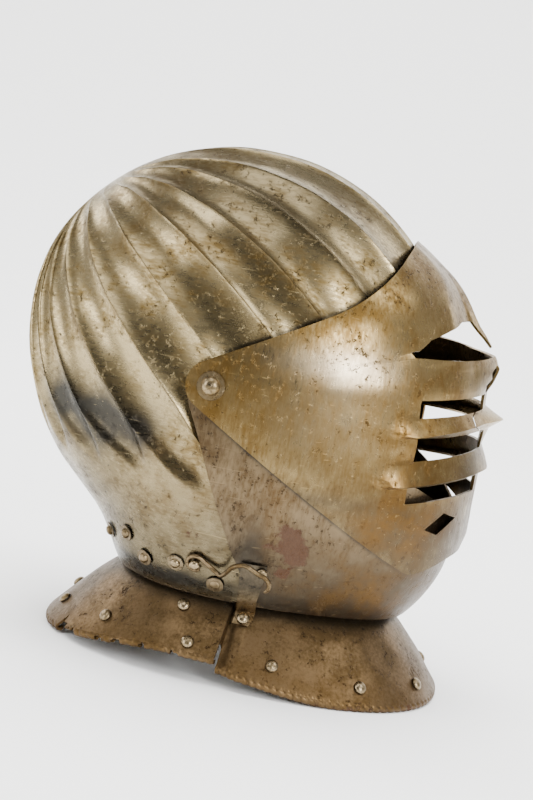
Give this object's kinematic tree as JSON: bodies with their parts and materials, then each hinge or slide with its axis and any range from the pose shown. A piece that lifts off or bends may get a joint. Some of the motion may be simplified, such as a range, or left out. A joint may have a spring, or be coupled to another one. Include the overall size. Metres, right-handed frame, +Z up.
{
  "type": "cuirassier helmet",
  "caption": "Full-face steel close helmet with a fluted skull, a hinged barred visor and bevor, a hook catch at the neck, and a flared riveted gorget.",
  "frame": {"origin": "middle of the helmet's footprint, on the floor that its rim stands on", "axes": "-Y is the way the face looks, +Z up, -X the wearer's right side"},
  "size_m": [0.22, 0.2864, 0.2991],
  "materials": {
    "worn_steel": "worn grey steel with a yellow-brown patina",
    "yellowed_steel": "worn steel yellowed to ochre",
    "browned_steel": "steel browned by old rust",
    "rivet_steel": "rubbed bright steel"
  },
  "bodies": {
    "skull": {"skull": "worn_steel", "gorget_rear": "browned_steel", "hook_stud": "rivet_steel", "neck_rivet_left_1": "rivet_steel", "neck_rivet_left_2": "rivet_steel", "neck_rivet_left_3": "rivet_steel", "neck_rivet_left_4": "rivet_steel", "neck_rivet_left_5": "rivet_steel", "neck_rivet_right_1": "rivet_steel", "neck_rivet_right_2": "rivet_steel", "neck_rivet_right_3": "rivet_steel", "neck_rivet_right_4": "rivet_steel", "neck_rivet_right_5": "rivet_steel", "pivot_left": "rivet_steel", "pivot_right": "rivet_steel", "rear_rivet_left_1": "rivet_steel", "rear_rivet_left_2": "rivet_steel", "rear_rivet_left_3": "rivet_steel", "rear_rivet_left_4": "rivet_steel", "rear_rivet_right_1": "rivet_steel", "rear_rivet_right_2": "rivet_steel", "rear_rivet_right_3": "rivet_steel", "rear_rivet_right_4": "rivet_steel"},
    "bevor": {"bevor": "worn_steel", "gorget_front": "browned_steel", "bevor_stud": "rivet_steel", "front_rivet_left_1": "rivet_steel", "front_rivet_left_2": "rivet_steel", "front_rivet_left_3": "rivet_steel", "front_rivet_left_4": "rivet_steel", "front_rivet_right_1": "rivet_steel", "front_rivet_right_2": "rivet_steel", "front_rivet_right_3": "rivet_steel", "front_rivet_right_4": "rivet_steel", "strap": "browned_steel"},
    "visor": {"visor": "yellowed_steel"},
    "hook": {"hook": "rivet_steel"}
  },
  "joints": [
    {"name": "bevor_hinge", "type": "hinge", "parent": "skull", "child": "bevor", "pos_m": [0, 0.022, 0.172], "axis": [-1, 0, 0], "range_deg": [0, 42]},
    {"name": "visor_hinge", "type": "hinge", "parent": "bevor", "child": "visor", "pos_m": [0, 0.022, 0.172], "axis": [-1, 0, 0], "range_deg": [0, 55]},
    {"name": "hook_hinge", "type": "hinge", "parent": "skull", "child": "hook", "pos_m": [-0.08131, 0.0128, 0.0677], "axis": [-0.9165, 0.0744, -0.3931], "range_deg": [0, 40]}
  ]
}
